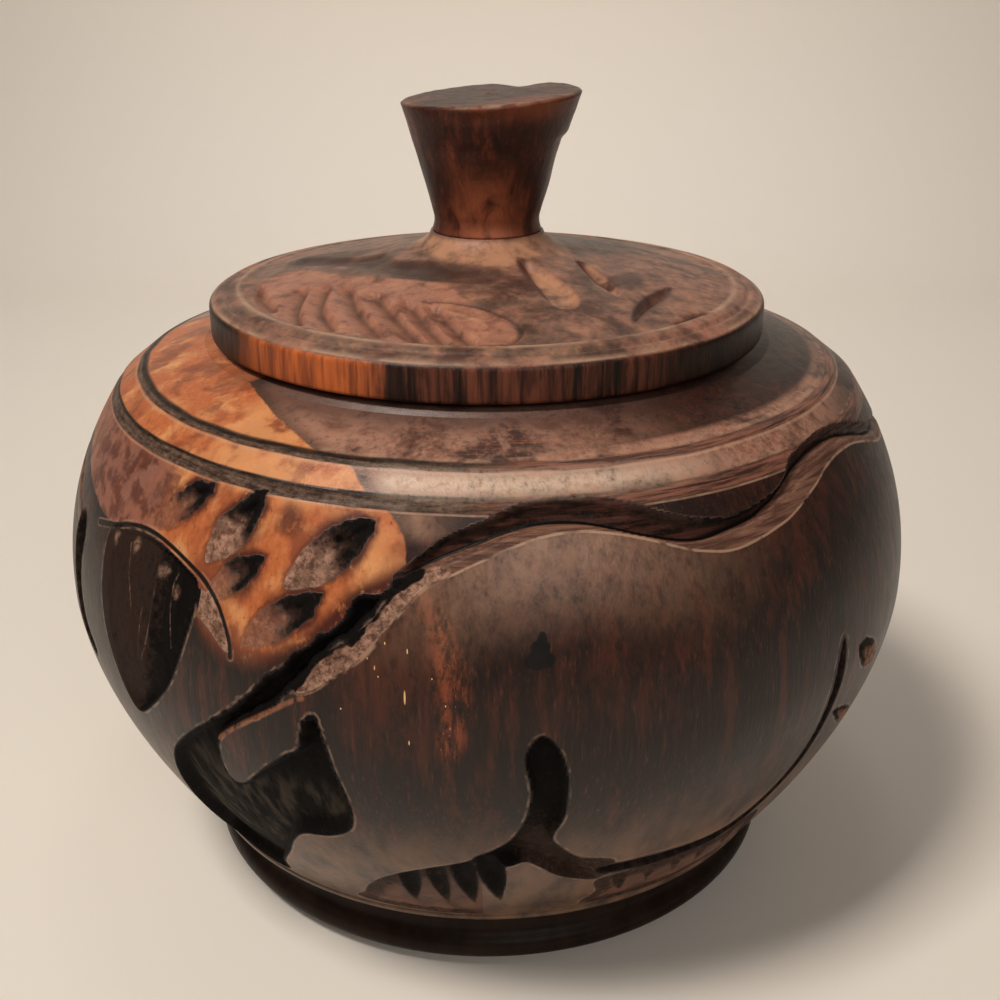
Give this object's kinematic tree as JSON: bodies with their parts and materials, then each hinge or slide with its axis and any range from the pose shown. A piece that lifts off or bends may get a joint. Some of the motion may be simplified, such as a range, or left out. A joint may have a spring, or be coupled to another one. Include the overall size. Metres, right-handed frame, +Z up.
{
  "type": "lidded wooden jar",
  "caption": "Squat round wooden jar, turned and relief carved, with ring grooves on the shoulder and a lift-off lid that has a locating plug and a flared knob.",
  "frame": {"origin": "middle of the foot's base, on the surface the jar stands on", "axes": "+Z up along the turning axis, -Y towards the carved front that the picture shows"},
  "size_m": [0.13, 0.13, 0.1178],
  "materials": {
    "body_wood": "waxed, semi-gloss, dark streaked heartwood with a patch of orange sapwood and charred cuts",
    "lid_wood": "waxed, semi-gloss, greyish brown top and a streaked rim",
    "knob_wood": "waxed, semi-gloss, dark reddish brown with a worn lip"
  },
  "bodies": {
    "jar": {"jar_body": "body_wood"},
    "lid": {"lid": "lid_wood", "knob": "knob_wood"}
  },
  "joints": [
    {"name": "lid_lift", "type": "slide", "parent": "jar", "child": "lid", "axis": [0, 0, 1], "range_m": [0, 0.06]}
  ]
}
